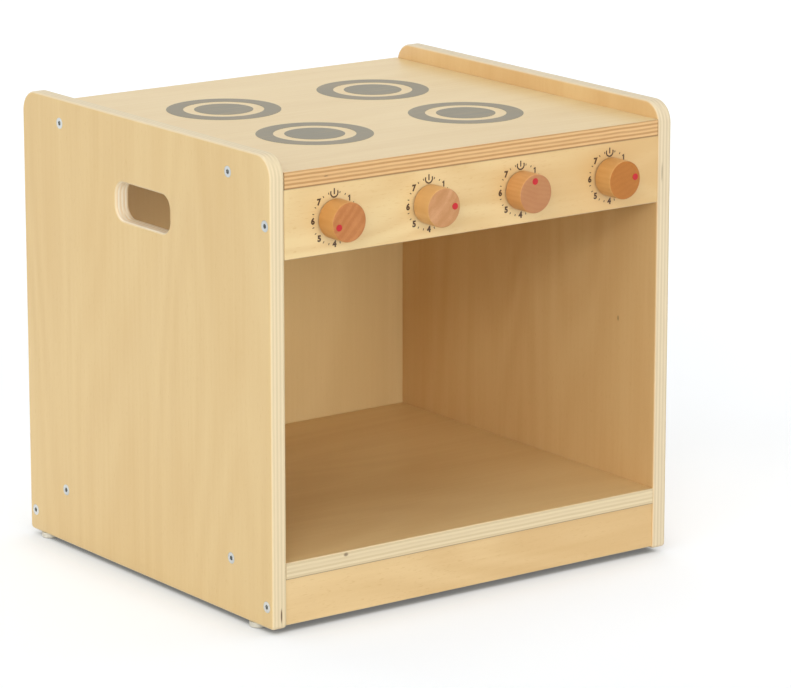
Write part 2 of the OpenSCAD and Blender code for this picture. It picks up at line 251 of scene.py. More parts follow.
    # Plies show between the face veneers, and only on a cut edge
    above = add(tree, "ShaderNodeMapRange", [count, -0.12, 0.12], interpolation_type="SMOOTHSTEP")
    below = add(
        tree,
        "ShaderNodeMapRange",
        [count, plies + 0.12, plies - 0.12],
        interpolation_type="SMOOTHSTEP",
    )
    inside = add(tree, "ShaderNodeMath", [above, below], operation="MULTIPLY")
    on_edge = add(tree, "ShaderNodeMapRange", [facing, 0.97, 0.8], interpolation_type="SMOOTHSTEP")
    inside = add(tree, "ShaderNodeMath", [inside, on_edge], operation="MULTIPLY")
    wood = add(tree, "ShaderNodeMix", {0: inside, 6: veneer, 7: core}, data_type="RGBA")

    # Small marks in brown: a pin knot, a gap in a ply, and painted shade along the seam of a joint
    for centre, reach, strength in marks_and_shade:
        mark_and_shade = near(tree, where, centre, reach)
        mark_and_shade = add(tree, "ShaderNodeMath", [mark_and_shade, strength], operation="MULTIPLY")
        wood = add(tree, "ShaderNodeMix", {0: mark_and_shade, 6: wood, 7: colour(KNOT_AND_SEAM_SHADE_BROWN)}, data_type="RGBA")

    rough = add(tree, "ShaderNodeMath", [streak, 0.14, 0.31], operation="MULTIPLY_ADD")
    rough = add(tree, "ShaderNodeMath", [inside, 0.12, rough], operation="MULTIPLY_ADD")
    height = add(tree, "ShaderNodeMath", [pore, -1.0, streak], operation="MULTIPLY_ADD")
    finish_material(tree, wood, rough, height, 0.5, WOOD_RELIEF, LACQUERED)
    return material


def turned_beech(
    name, middle, face, face_late, side, side_late, ring_turn, ring_step,
    seed=0.0, ring_show=0.3, pale_band=0.0,
):
    """Beech turned with its grain along the axis, and sealed. It gives the eye a darker end-grain
    face with fine growth rings, and warm orange sides with short lengthwise flecks."""
    material, tree = new_material(name)
    place = add(tree, "ShaderNodeTexCoord")
    inward = [place.outputs["Object"], tuple(middle)]
    centred = add(tree, "ShaderNodeVectorMath", inward, operation="SUBTRACT")
    turned = add(tree, "ShaderNodeSeparateXYZ", [place.outputs["Normal"]]).outputs
    facing = add(tree, "ShaderNodeMath", [turned[Y], turned[Y]], operation="MULTIPLY")

    # Rings lie round a pith that is well outside the knob, so they cross it as shallow arcs
    pith = (PITH_AWAY * math.cos(ring_turn), 0.0, PITH_AWAY * math.sin(ring_turn))
    from_pith = add(tree, "ShaderNodeVectorMath", [centred, pith], operation="SUBTRACT")
    flat = add(tree, "ShaderNodeVectorMath", [from_pith, (1.0, 0.0, 1.0)], operation="MULTIPLY")
    reach = add(tree, "ShaderNodeVectorMath", [flat], operation="LENGTH")
    drift = stretched_noise(tree, centred, RING_DRIFT, 2.0, seed)
    full_turn = 2 * math.pi / (ring_step * MM)
    rings = add(tree, "ShaderNodeMath", [reach, full_turn], operation="MULTIPLY")
    rings = add(tree, "ShaderNodeMath", [drift, 9.0, rings], operation="MULTIPLY_ADD")
    rings = add(tree, "ShaderNodeMath", [rings], operation="SINE")
    late = add(tree, "ShaderNodeMapRange", [rings, -0.9, 1.0], interpolation_type="SMOOTHSTEP")
    cloud = stretched_noise(tree, centred, BEECH_CLOUDS, 3.0, seed + 1.3)
    grit = stretched_noise(tree, centred, BEECH_GRIT, 2.0, seed + 2.9)
    fleck = stretched_noise(tree, centred, BEECH_FLECKS, 2.0, seed + 5.1)

    # The end-grain face, with a pale band 8 mm wide on the knob that has one
    tone = add(tree, "ShaderNodeMath", [cloud, 0.9], operation="MULTIPLY")
    tone = add(tree, "ShaderNodeMath", [late, ring_show, tone], operation="MULTIPLY_ADD")
    specks = add(tree, "ShaderNodeMath", [grit, 0.5], operation="SUBTRACT")
    tone = add(tree, "ShaderNodeMath", [specks, 0.4, tone], operation="MULTIPLY_ADD")
    band = add(tree, "ShaderNodeMath", [reach, BAND_AWAY], operation="SUBTRACT")
    band = add(tree, "ShaderNodeMath", [band], operation="ABSOLUTE")
    band = add(tree, "ShaderNodeMath", [drift, 4 * MM, band], operation="MULTIPLY_ADD")
    band_edges = [band, 5.5 * MM, 1.5 * MM]
    band = add(tree, "ShaderNodeMapRange", band_edges, interpolation_type="SMOOTHSTEP")
    tone = add(tree, "ShaderNodeMath", [band, -pale_band, tone], operation="MULTIPLY_ADD")
    tone = add(tree, "ShaderNodeMapRange", [tone, 0.0, 0.9], interpolation_type="SMOOTHSTEP")
    end = add(tree, "ShaderNodeMix", {0: tone, 6: colour(face), 7: colour(face_late)}, data_type="RGBA")

    # The sides, and the wood of both
    tone = add(tree, "ShaderNodeMath", [cloud, 0.8], operation="MULTIPLY")
    tone = add(tree, "ShaderNodeMath", [late, 0.12, tone], operation="MULTIPLY_ADD")
    specks = add(tree, "ShaderNodeMath", [fleck, 0.45], operation="SUBTRACT")
    tone = add(tree, "ShaderNodeMath", [specks, 0.25, tone], operation="MULTIPLY_ADD")
    tone = add(tree, "ShaderNodeMapRange", [tone, 0.0, 0.9], interpolation_type="SMOOTHSTEP")
    long = add(tree, "ShaderNodeMix", {0: tone, 6: colour(side), 7: colour(side_late)}, data_type="RGBA")
    on_face = add(tree, "ShaderNodeMapRange", [facing, 0.25, 0.75], interpolation_type="SMOOTHSTEP")
    wood = add(tree, "ShaderNodeMix", {0: on_face, 6: long, 7: end}, data_type="RGBA")
    rough = add(tree, "ShaderNodeMath", [grit, 0.16, 0.36], operation="MULTIPLY_ADD")
    height = add(tree, "ShaderNodeMath", [late, 0.4, fleck], operation="MULTIPLY_ADD")
    finish_material(tree, wood, rough, height, 0.4, WOOD_RELIEF, LACQUERED)
    return material


def printed_ink(name, ink, thin, cover, roughness):
    """Screen-printing ink on lacquered wood. It gives the eye a flat matt tone that thins along
    the grain, so that a little of the streaks shows through."""
    material, tree = new_material(name)
    where = add(tree, "ShaderNodeTexCoord").outputs["Object"]
    streak = stretched_noise(tree, where, lengthwise(X, *INK_STREAKS), 3.0, 7.9)
    cloud = stretched_noise(tree, where, INK_CLOUDS, 2.0, 1.1)
    gap = add(tree, "ShaderNodeMath", [cloud, 0.4, streak], operation="MULTIPLY_ADD")
    gap = add(tree, "ShaderNodeMapRange", [gap, cover, 1.0], interpolation_type="SMOOTHSTEP")
    tone = add(tree, "ShaderNodeMix", {0: gap, 6: colour(ink), 7: colour(thin)}, data_type="RGBA")
    rough = add(tree, "ShaderNodeMath", [streak, 0.1, roughness], operation="MULTIPLY_ADD")
    finish_material(tree, tone, rough, streak, 0.4, 0.03 * MM, LACQUERED)
    return material


def smooth_coat(name, base, shade, roughness, mottle=40.0, metallic=0.0, relief_depth=0.03 * MM):
    """A paint, moulded plastic or plated metal. It gives the eye one clean colour that drifts
    slightly, with a faint unevenness in its gloss."""
    material, tree = new_material(name)
    where = add(tree, "ShaderNodeTexCoord").outputs["Object"]
    drift = stretched_noise(tree, where, (mottle, mottle, mottle), 3.0, 4.2)
    drift = add(tree, "ShaderNodeMapRange", [drift, 0.3, 0.7], interpolation_type="SMOOTHSTEP")
    grit = stretched_noise(tree, where, GLOSS_GRIT, 2.0, 8.4)
    tone = add(tree, "ShaderNodeMix", {0: drift, 6: colour(base), 7: colour(shade)}, data_type="RGBA")
    rough = add(tree, "ShaderNodeMath", [grit, 0.14, roughness], operation="MULTIPLY_ADD")
    finish_material(tree, tone, rough, grit, 0.3, relief_depth, {"Metallic": metallic})
    return material


# Wood of the hand slots, painted paler than an outer edge as painted light on the slot walls, and where it
# is

SLOT_WOOD_PAINTED_LIGHT = ("#FFF4DE", "#F3DDB6")
SLOT_DROP = 77.5 * MM
SLOT_REACH = (0.06, 0.14, 0.06)
slot_y = (left_low.y + left_high.y) / 2
slot_z = left_high.z - SLOT_DROP
left_slot = (*SLOT_WOOD_PAINTED_LIGHT, (left_low.x, slot_y, slot_z), SLOT_REACH)
right_slot = (*SLOT_WOOD_PAINTED_LIGHT, (right_high.x, slot_y, slot_z), SLOT_REACH)

# Marks and painted seam shade on the boards, each as its centre, its reach on each axis and its strength

WIDE = 9.0
left_marks = [((-0.2111, front_y, 0.0174), (0.0011, 0.02, 0.0085), 0.95)]
right_marks = [
    ((0.2095, front_y, 0.359), (0.0009, 0.02, 0.012), 0.5),
    ((0.205, -0.1345, 0.2136), (0.002, 0.0016, 0.0035), 0.5),
]
hob_marks_and_seam_shade = [
    ((-0.1614, board_face_y, 0.4), (0.003, 0.004, 0.0007), 0.6),
    # Painted shade along the seams of the hob with the fascia and with the side boards
    ((0.0, board_face_y, hob_low.z), (WIDE, 0.02, 0.0011), 0.5),
    ((hob_low.x, board_face_y, hob_low.z), (0.0011, 0.02, 0.03), 0.4),
    ((hob_high.x, board_face_y, hob_low.z), (0.0011, 0.02, 0.03), 0.4),
]
# Painted shade along the seam where the fascia meets the hob
fascia_seam_shade = [((0.0, board_face_y, fascia_high.z), (WIDE, 0.02, 0.0009), 0.4)]
shelf_marks_and_seam_shade = [
    ((-0.1416, board_face_y, 0.0605), (0.0032, 0.004, 0.0022), 0.7),
    # Painted shade along the seam where the shelf meets the front plinth
    ((0.0, board_face_y, shelf_low.z), (WIDE, 0.02, 0.001), 0.6),
]

left_ply = birch_plywood(
    "birch plywood, left side", "left_side", X, Z,
    "#E4C891", "#D9B87E", "#E6D4B1", "#DAC8A1", seed=1.0, marks_and_shade=left_marks, slot_painted_light=left_slot,
)
right_ply = birch_plywood(
    "birch plywood, right side", "right_side", X, Z,
    "#E3C189", "#D8B077", "#E1D1B1", "#D4C2A0", seed=2.6, marks_and_shade=right_marks, slot_painted_light=right_slot,
    figure=0.2,
)
hob_ply = birch_plywood(
    "birch plywood, hob", "hob_panel", Z, X,
    "#E6CE9C", "#DCC08B", "#DEB782", "#C0925C", seed=4.1, marks_and_shade=hob_marks_and_seam_shade, uneven=1.1, own_tone=0.55,
    plies=9, skin=-0.6,
)
shelf_ply = birch_plywood(
    "birch plywood, shelf", "shelf", Z, X,
    "#E8C992", "#DDBA81", "#E0CFAB", "#D4C19A", seed=5.7, marks_and_shade=shelf_marks_and_seam_shade, uneven=1.2, own_tone=0.8,
)
back_ply = birch_plywood(
    "birch plywood, back panel", "back_panel", Y, Z,
    "#E9CF9A", "#DDC089", "#E2CBA0", "#CDAC78", plies=3, seed=7.2,
)
fascia_ply = birch_plywood(
    "birch plywood, fascia", "fascia", Y, X,
    "#E5CB96", "#D6B27A", "#E2CBA0", "#CDAC78", seed=8.8, marks_and_shade=fascia_seam_shade, figure=0.35, flecks=0.25,
    darker_along=1.4, figure_long=3.0, figure_wide=13.0,
)
front_plinth_ply = birch_plywood(
    "birch plywood, front plinth", "front_plinth", Y, X,
    "#E5C894", "#D3B07A", "#E2CBA0", "#CDAC78", seed=10.3, figure=0.15, darker_along=1.6,
)
rear_plinth_ply = birch_plywood(
    "birch plywood, rear plinth", "rear_plinth", Y, X,
    "#E4C891", "#D9B87E", "#E2CBA0", "#CDAC78", seed=11.9,
)

# Knob woods: two tones of face and of sides, turn and step of rings, seed, how rings show, pale band

knob_tones = [
    ("#C4824A", "#B06D36", "#D09653", "#C08644", 2.36, 7.5, 1.0, 0.3, 0.0),
    ("#CD996C", "#B88250", "#DCAC6E", "#CD9A59", 2.4, 8.0, 2.7, 0.2, 0.45),
    ("#B88153", "#AE7448", "#D49B5E", "#C48849", 1.3, 4.0, 4.9, 0.15, 0.0),
    ("#B57128", "#A8661F", "#D39F5E", "#C38C4B", 2.0, 5.0, 6.3, 0.15, 0.0),
]
knob_woods = {}
for dial, middle, tones in zip(DIALS, knob_middles, knob_tones):
    knob_woods[dial] = turned_beech(f"oiled beech, knob {dial}", middle, *tones)
dowel_wood = turned_beech(
    "beech, dowels", (0.0, 0.0, 0.0), "#C99A66", "#B88550", "#D9B07A", "#C89B62", 0.4, 2.0, 8.1,
)
steel = smooth_coat(
    "zinc-plated steel", "#DCDEDB", "#C6C9C8", 0.26, metallic=1.0, relief_depth=0.01 * MM,
)
white_plastic = smooth_coat("moulded white polyethylene", "#D6D2C4", "#C9C5B6", 0.38)
nylon = smooth_coat("natural nylon", "#E9E6DA", "#DEDACC", 0.4)
red_paint = smooth_coat("red enamel paint", "#C21824", "#B8141E", 0.3, mottle=220.0)
ring_ink = printed_ink("grey screen-printed ink, rings", "#7E7660", "#928468", 0.66, 0.4)
disc_ink = printed_ink("grey screen-printed ink, discs", "#79735F", "#8F8367", 0.66, 0.4)
dial_ink = printed_ink("brown screen-printed ink", "#4E3522", "#6B4A2E", 0.8, 0.45)


# Boards and knobs, as cleaned copies of the CAD solids

SAME_POINT = 0.001 * MM
FLAT_ANGLE = math.radians(0.05)
CURVED_ANGLE = math.radians(35)
SAME_LEVEL = 0.01 * MM


def merged(node_name, name):
    """A copy of a CAD node's mesh with its loose triangles joined, and smooth where it is curved."""
    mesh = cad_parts[node_name].data.copy()
    mesh.name = name
    build = bmesh.new()
    build.from_mesh(mesh)
    bmesh.ops.remove_doubles(build, verts=build.verts, dist=SAME_POINT)
    bmesh.ops.dissolve_limit(
        build, angle_limit=FLAT_ANGLE, verts=build.verts, edges=build.edges, delimit={"NORMAL"},
    )
    for part in build.faces:
        part.smooth = True
    for edge in build.edges:
        edge.smooth = edge.is_manifold and edge.calc_face_angle() < CURVED_ANGLE
    build.to_mesh(mesh)
    build.free()
    piece = bpy.data.objects.new(name, mesh)
    bpy.context.scene.collection.objects.link(piece)
    return piece


def dress(piece, material, slot_name, body, *nodes):
    """Gives a finished piece its material and its body, and hides the nodes it stands for. The record
    slot's name is not used.
    """
    piece.data.materials.clear()
    piece.data.materials.append(material)
    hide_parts(*nodes)
    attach(piece, body)


def ease_edges(piece, width, level):
    """Rounds the long edges of a board that lie at one level, which are the ones left open."""
    mesh = piece.data
    weights = mesh.attributes.new("bevel_weight_edge", "FLOAT", "EDGE")
    for edge in mesh.edges:
        ends = [mesh.vertices[number].co for number in edge.vertices]
        if all(abs(end.z - level) < SAME_LEVEL for end in ends):
            weights.data[edge.index].value = 1.0
    bevel = piece.modifiers.new("eased edges", "BEVEL")
    bevel.width = width
    bevel.segments = 3
    bevel.limit_method = "WEIGHT"
    bevel.harden_normals = True


# Each board with its wood, its slot, and the radius and level of the edges eased on it

front_plinth_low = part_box("front_plinth")[0].z
rear_plinth_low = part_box("rear_plinth")[0].z
boards = [
    ("left_side", left_ply, "birch_ply_sides", 0.0, 0.0),
    ("right_side", right_ply, "birch_ply_sides", 0.0, 0.0),
    ("hob_panel", hob_ply, "birch_ply_hob", 0.7 * MM, hob_high.z),
    ("shelf", shelf_ply, "birch_ply_shelf", 0.8 * MM, shelf_high.z),
    ("fascia", fascia_ply, "birch_ply_fascia", 0.8 * MM, fascia_low.z),
    ("front_plinth", front_plinth_ply, "birch_ply_plinths", 0.8 * MM, front_plinth_low),
    ("rear_plinth", rear_plinth_ply, "birch_ply_plinths", 0.8 * MM, rear_plinth_low),
    ("back_panel", back_ply, "birch_ply_back", 0.0, 0.0),
]
for board_name, ply, slot_name, ease, eased_level in boards:
    board = merged(board_name, board_name + "_board")
    if ease:
        ease_edges(board, ease, eased_level)
    dress(board, ply, slot_name, "cabinet", board_name)

for dial in DIALS:
    knob = merged(f"knob_{dial}", f"knob_{dial}_turned")
    dress(knob, knob_woods[dial], "oiled_beech_knobs", f"dial_{dial}", f"knob_{dial}")


# Finishes of the CAD pieces that stay as they are

plain_finish = {
    "left_dowels": dowel_wood, "right_dowels": dowel_wood,
    "glide_nails": steel,
    "glide_front_left": white_plastic, "glide_front_right": white_plastic,
    "glide_rear_left": white_plastic, "glide_rear_right": white_plastic,
    "hob_rings": ring_ink, "hob_discs": disc_ink,
}
for dial in DIALS:
    plain_finish[f"dot_{dial}"] = red_paint
    plain_finish[f"spindle_{dial}"] = steel
    plain_finish[f"front_washer_{dial}"] = nylon
    plain_finish[f"back_washer_{dial}"] = steel
    plain_finish[f"lock_nut_{dial}"] = steel
for node_name, finish in plain_finish.items():
    cad_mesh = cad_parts[node_name].data
    cad_mesh.materials.clear()
    cad_mesh.materials.append(finish)


# Numbers and on symbols printed round the dials

LABEL_R = 22.5 * MM
LABEL_STEP = math.radians(45)
NUMBER_H = 5.2 * MM
INK_T = 0.1 * MM
BOLDER = 0.4 * MM
FONT_H = 0.7  # height of a number in Blender's own font, as a share of the text size
CAP_STEPS = 6

# The on symbol and the 1, in mm

STROKE_W = 1.25
ARC_R = 3.8
ARC_START, ARC_SWEEP, ARC_STEPS = -198, 216, 24
SYMBOL_DROP = 0.3 * MM
bar = [(0.0, 3.5), (0.0, 1.4), (0.0, -0.8)]
one_outline = [(-0.45, -2.6), (0.8, -2.6), (0.8, 2.6), (-0.1, 2.6), (-1.4, 1.8), (-1.4, 0.6), (-0.45, 1.15)]


def stroke(points, width):
    """The outline of a pen stroke with round ends along the points."""
    half = width / 2
    left, right = [], []
    for place, point in enumerate(points):
        before = points[max(place - 1, 0)]
        after = points[min(place + 1, len(points) - 1)]
        run = (Vector(after) - Vector(before)).normalized()
        side = Vector((-run.y, run.x)) * half
        left.append(tuple(Vector(point) + side))
        right.append(tuple(Vector(point) - side))
    first_run = (Vector(points[1]) - Vector(points[0])).normalized()
    last_run = (Vector(points[-1]) - Vector(points[-2])).normalized()
    caps = []
    for point, run in ((points[-1], last_run), (points[0], -first_run)):
        start = math.atan2(run.x, -run.y)
        cap = []
        for step in range(1, CAP_STEPS):
            turn = start - math.pi * step / CAP_STEPS
            cap.append((point[0] + half * math.cos(turn), point[1] + half * math.sin(turn)))
        caps.append(cap)
    return left + caps[0] + right[::-1] + caps[1]


def printed_shape(name, outlines):
    """A thin solid from one or more outlines, given in millimetres, resting on Z = 0."""
    build = bmesh.new()
    for outline in outlines:
        flat = build.faces.new([build.verts.new((x * MM, y * MM, 0.0)) for x, y in outline])
        grown = bmesh.ops.extrude_face_region(build, geom=[flat])
        tops = [part for part in grown["geom"] if isinstance(part, bmesh.types.BMVert)]
        bmesh.ops.translate(build, verts=tops, vec=(0.0, 0.0, INK_T))
    bmesh.ops.recalc_face_normals(build, faces=build.faces)
    mesh = bpy.data.meshes.new(name)
    build.to_mesh(mesh)
    build.free()
    return mesh


def printed_digit(digit):
    """One upright number as a thin solid, centred on the origin."""
    curve = bpy.data.curves.new("number", "FONT")
    curve.body = str(digit)
    curve.size = NUMBER_H / FONT_H
    curve.extrude = INK_T / 2
    curve.offset = BOLDER
    curve.resolution_u = 4
    text = bpy.data.objects.new("number", curve)
    bpy.context.scene.collection.objects.link(text)
    bpy.context.view_layer.update()
    mesh = bpy.data.meshes.new_from_object(text.evaluated_get(bpy.context.evaluated_depsgraph_get()))
    bpy.data.objects.remove(text)
    corners = [vertex.co.copy() for vertex in mesh.vertices]
    low = Vector([min(corner[axis] for corner in corners) for axis in (X, Y, Z)])
    high = Vector([max(corner[axis] for corner in corners) for axis in (X, Y, Z)])
    mesh.transform(Matrix.Translation(-(low + high) / 2))
    return mesh


arc = []
for step in range(ARC_STEPS + 1):
    turn = math.radians(ARC_START + ARC_SWEEP * step / ARC_STEPS)
    arc.append((ARC_R * math.cos(turn), ARC_R * math.sin(turn)))
symbol_mesh = printed_shape("on symbol", [stroke(arc, STROKE_W), stroke(bar, STROKE_W)])
one_mesh = printed_shape("one", [one_outline])
one_mesh.transform(Matrix.Translation((0.0, 0.0, -INK_T / 2)))
labels = [symbol_mesh, one_mesh] + [printed_digit(digit) for digit in range(2, 8)]

prints = bmesh.new()
stand = Matrix.Rotation(math.radians(90), 4, "X")
for middle in knob_middles:
    for place, label in enumerate(labels):
        turn = LABEL_STEP * place
        spot = Vector((
            middle.x + LABEL_R * math.sin(turn),
            board_face_y - INK_T / 2,
            middle.z + LABEL_R * math.cos(turn),
        ))
        if label is symbol_mesh:
            spot.y = board_face_y
            spot.z -= SYMBOL_DROP
        copy = label.copy()
        copy.transform(Matrix.Translation(spot) @ stand)
        prints.from_mesh(copy)
        bpy.data.meshes.remove(copy)
numbers_mesh = bpy.data.meshes.new("dial_numbers")
prints.to_mesh(numbers_mesh)
prints.free()
numbers = bpy.data.objects.new("dial_numbers", numbers_mesh)
bpy.context.scene.collection.objects.link(numbers)
numbers_mesh.materials.append(dial_ink)
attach(numbers, "cabinet")


# Screws and dial ticks grown by Geometry Nodes

def new_tree(name, sockets):
    """An empty Geometry Nodes tree with a geometry input, its named inputs and one output."""
    tree = bpy.data.node_groups.new(name, "GeometryNodeTree")
    tree.interface.new_socket(name="Geometry", in_out="INPUT", socket_type="NodeSocketGeometry")
    for label, kind in sockets.items():
        tree.interface.new_socket(name=label, in_out="INPUT", socket_type="NodeSocket" + kind)
    tree.interface.new_socket(name="Geometry", in_out="OUTPUT", socket_type="NodeSocketGeometry")
    return tree, add(tree, "NodeGroupInput").outputs


def make_real(tree, instances, finish):
    """Ends a tree with plain geometry in its material."""
    real = add(tree, "GeometryNodeRealizeInstances", {"Geometry": instances})
    painted = add(tree, "GeometryNodeSetMaterial", {"Geometry": real, "Material": finish})
    add(tree, "NodeGroupOutput", {"Geometry": painted})


def grow(tree, name, seed_points, sizes):
    """Runs a tree on some points with the given sizes, and returns the result as a plain piece."""
    seed_mesh = bpy.data.meshes.new(name + "_points")
    seed_mesh.from_pydata([tuple(point) for point in seed_points], [], [])
    seed = bpy.data.objects.new(name + "_points", seed_mesh)
    bpy.context.scene.collection.objects.link(seed)
    maker = seed.modifiers.new("maker", "NODES")
    maker.node_group = tree
    for item in tree.interface.items_tree:
        if item.in_out == "INPUT" and item.name in sizes:
            maker[item.identifier] = sizes[item.name]
    bpy.context.view_layer.update()
    graph = bpy.context.evaluated_depsgraph_get()
    mesh = bpy.data.meshes.new_from_object(seed.evaluated_get(graph))
    bpy.data.objects.remove(seed)
    bpy.data.meshes.remove(seed_mesh)
    build = bmesh.new()
    build.from_mesh(mesh)
    bmesh.ops.recalc_face_normals(build, faces=build.faces)
    for edge in build.edges:
        edge.smooth = edge.is_manifold and edge.calc_face_angle() < math.radians(30)
    build.to_mesh(mesh)
    build.free()
    mesh.name = name
    piece = bpy.data.objects.new(name, mesh)
    bpy.context.scene.collection.objects.link(piece)
    return piece


def moved_down(tree, shape, drop):
    """A shape lowered by a distance."""
    down = add(tree, "ShaderNodeMath", [drop, -1.0], operation="MULTIPLY")
    way = add(tree, "ShaderNodeCombineXYZ", {"Z": down})
    return add(tree, "GeometryNodeTransform", {"Geometry": shape, "Translation": way})


ROUND = 48
HEXAGON = 6
SHOULDER_STEP = 0.3 * MM


def screw_tree():
    """Countersunk connecting screws with a hexagon socket, one on each point, all facing one way."""
    tree, given = new_tree("connecting_screws", {
        "Head Radius": "Float", "Rim Height": "Float", "Cone Height": "Float",
        "Shoulder Radius": "Float", "Shoulder End": "Float",
        "Thread Radius": "Float", "Length": "Float", "Tip Height": "Float",
        "Socket Radius": "Float", "Socket Depth": "Float",
        "Facing": "Vector", "Seed": "Int", "Finish": "Material",
    })
    head, neck, thread = given["Head Radius"], given["Shoulder Radius"], given["Thread Radius"]
    hole, hole_depth, length = given["Socket Radius"], given["Socket Depth"], given["Length"]
    cone_top, neck_end = given["Rim Height"], given["Shoulder End"]
    cone_end = add(tree, "ShaderNodeMath", [cone_top, given["Cone Height"]], operation="ADD")
    step_end = add(tree, "ShaderNodeMath", [neck_end, SHOULDER_STEP], operation="ADD")
    tip_start = add(tree, "ShaderNodeMath", [length, given["Tip Height"]], operation="SUBTRACT")
    tip = add(tree, "ShaderNodeMath", [thread, 0.5], operation="MULTIPLY")

    # The head's flat ring between its rim and the socket
    outlines = []
    for corners, radius in ((ROUND, head), (HEXAGON, hole)):
        circle = {"Resolution": corners, "Radius": radius}
        outlines.append(add(tree, "GeometryNodeCurvePrimitiveCircle", circle))
    rims = add(tree, "GeometryNodeJoinGeometry", {"Geometry": outlines})
    shapes = [add(tree, "GeometryNodeFillCurve", {"Curve": rims})]

    # Tubes down the screw, each as its corners, upper radius, lower radius, top and bottom depth
    tubes = [
        (ROUND, head, head, 0.0, cone_top),
        (ROUND, head, neck, cone_top, cone_end),
        (ROUND, neck, neck, cone_end, neck_end),
        (ROUND, neck, thread, neck_end, step_end),
        (ROUND, thread, thread, step_end, tip_start),
        (ROUND, thread, tip, tip_start, length),
        (HEXAGON, hole, hole, 0.0, hole_depth),
    ]
    for corners, upper, lower, start, end in tubes:
        depth = add(tree, "ShaderNodeMath", [end, start], operation="SUBTRACT")
        sizes = {"Vertices": corners, "Radius Top": upper, "Radius Bottom": lower, "Depth": depth}
        tube = add(tree, "GeometryNodeMeshCone", sizes, fill_type="NONE")
        shapes.append(moved_down(tree, tube, end))
    for corners, radius, drop in ((ROUND, tip, length), (HEXAGON, hole, hole_depth)):
        circle = {"Vertices": corners, "Radius": radius}
        cap = add(tree, "GeometryNodeMeshCircle", circle, fill_type="NGON")
        shapes.append(moved_down(tree, cap, drop))
    whole = add(tree, "GeometryNodeJoinGeometry", {"Geometry": shapes})
    screw = add(tree, "GeometryNodeMergeByDistance", {"Geometry": whole, "Distance": 0.01 * MM})

    # A screw on each point, with its socket turned by chance
    aim = add(tree, "FunctionNodeAlignRotationToVector", {"Vector": given["Facing"]}, axis="Z")
    spots = {"Points": given["Geometry"], "Instance": screw, "Rotation": aim}
    placed = add(tree, "GeometryNodeInstanceOnPoints", spots)
    sixth = {"Max": (0.0, 0.0, math.pi / 3), "Seed": given["Seed"]}
    chance = add(tree, "FunctionNodeRandomValue", sixth, data_type="FLOAT_VECTOR")
    spin = {"Instances": placed, "Rotation": chance, "Local Space": True}
    make_real(tree, add(tree, "GeometryNodeRotateInstances", spin), given["Finish"])
    return tree


def tick_tree():
    """A ring of small ticks round each point, with a gap at every label, lying on an upright board."""
    tree, given = new_tree("dial_ticks", {
        "Ring Radius": "Float", "Marks Per Turn": "Int", "Marks Per Label": "Int",
        "Tick Width": "Float", "Tick Length": "Float", "Ink Height": "Float",
        "Finish": "Material",
    })
    circle = {"Vertices": given["Marks Per Turn"], "Radius": given["Ring Radius"]}
    ring = add(tree, "GeometryNodeMeshCircle", circle, fill_type="NONE")
    number = add(tree, "GeometryNodeInputIndex")
    place = add(tree, "GeometryNodeInputPosition")
    since_label = add(tree, "ShaderNodeMath", [number, given["Marks Per Label"]], operation="MODULO")
    wanted = add(tree, "ShaderNodeMath", [since_label, 0.5], operation="GREATER_THAN")
    outward = add(
        tree, "FunctionNodeAlignRotationToVector", {"Vector": place}, axis="Y", pivot_axis="Z",
    )
    sides = [given["Tick Width"], given["Tick Length"], given["Ink Height"]]
    size = add(tree, "ShaderNodeCombineXYZ", sides)
    tick = add(tree, "GeometryNodeMeshCube", {"Size": size})
    spots = {"Points": ring, "Selection": wanted, "Instance": tick, "Rotation": outward}
    ticks = add(tree, "GeometryNodeInstanceOnPoints", spots)
    standing = {"Geometry": ticks, "Rotation": (math.pi / 2, 0.0, 0.0)}
    upright = add(tree, "GeometryNodeTransform", standing)
    one_ring = add(tree, "GeometryNodeGeometryToInstance", {"Geometry": upright})
    spots = {"Points": given["Geometry"], "Instance": one_ring}
    make_real(tree, add(tree, "GeometryNodeInstanceOnPoints", spots), given["Finish"])
    return tree


# Where the screws go: two in the hob and the shelf, one in the fascia and each plinth

SCREW_INSET = 64 * MM
PLINTH_SCREW_UP = 19.5 * MM
screw_places = []
for board_name in ("hob_panel", "shelf"):
    for along in (left_low.y + SCREW_INSET, left_high.y - SCREW_INSET):
        screw_places.append((along, middle_of(board_name).z))
screw_places.append((middle_of("fascia").y, middle_of("fascia").z))
for board_name in ("front_plinth", "rear_plinth"):
    screw_places.append((middle_of(board_name).y, left_low.z + PLINTH_SCREW_UP))

screw_sizes = {
    "Head Radius": 5.0 * MM, "Rim Height": 0.6 * MM, "Cone Height": 3.0 * MM,
    "Shoulder Radius": 3.5 * MM, "Shoulder End": 16.0 * MM, "Thread Radius": 3.2 * MM,
    "Length": 50.0 * MM, "Tip Height": 3.2 * MM, "Socket Radius": 2.309 * MM, "Socket Depth": 3.0 * MM,
    "Seed": 5, "Finish": steel,
}
make_screws = screw_tree()
for screw_node, out in (("left_screws", -1.0), ("right_screws", 1.0)):
    face_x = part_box(screw_node)[0].x if out < 0 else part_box(screw_node)[1].x
    spots = [(face_x, along, up) for along, up in screw_places]
    screws = grow(make_screws, screw_node + "_set", spots, {**screw_sizes, "Facing": (out, 0.0, 0.0)})
    dress(screws, steel, "zinc_plated_steel", "cabinet", screw_node)

INK_OUT = 0.06 * MM
tick_spots = [(middle.x, board_face_y - INK_OUT, middle.z) for middle in knob_middles]
ticks = grow(tick_tree(), "dial_ticks", tick_spots, {
    "Ring Radius": 22.8 * MM, "Marks Per Turn": 24, "Marks Per Label": 3,
    "Tick Width": 0.8 * MM, "Tick Length": 1.8 * MM, "Ink Height": 0.12 * MM, "Finish": dial_ink,
})
dress(ticks, dial_ink, "brown_dial_print", "cabinet", "dial_marks")


# Floor and white surroundings

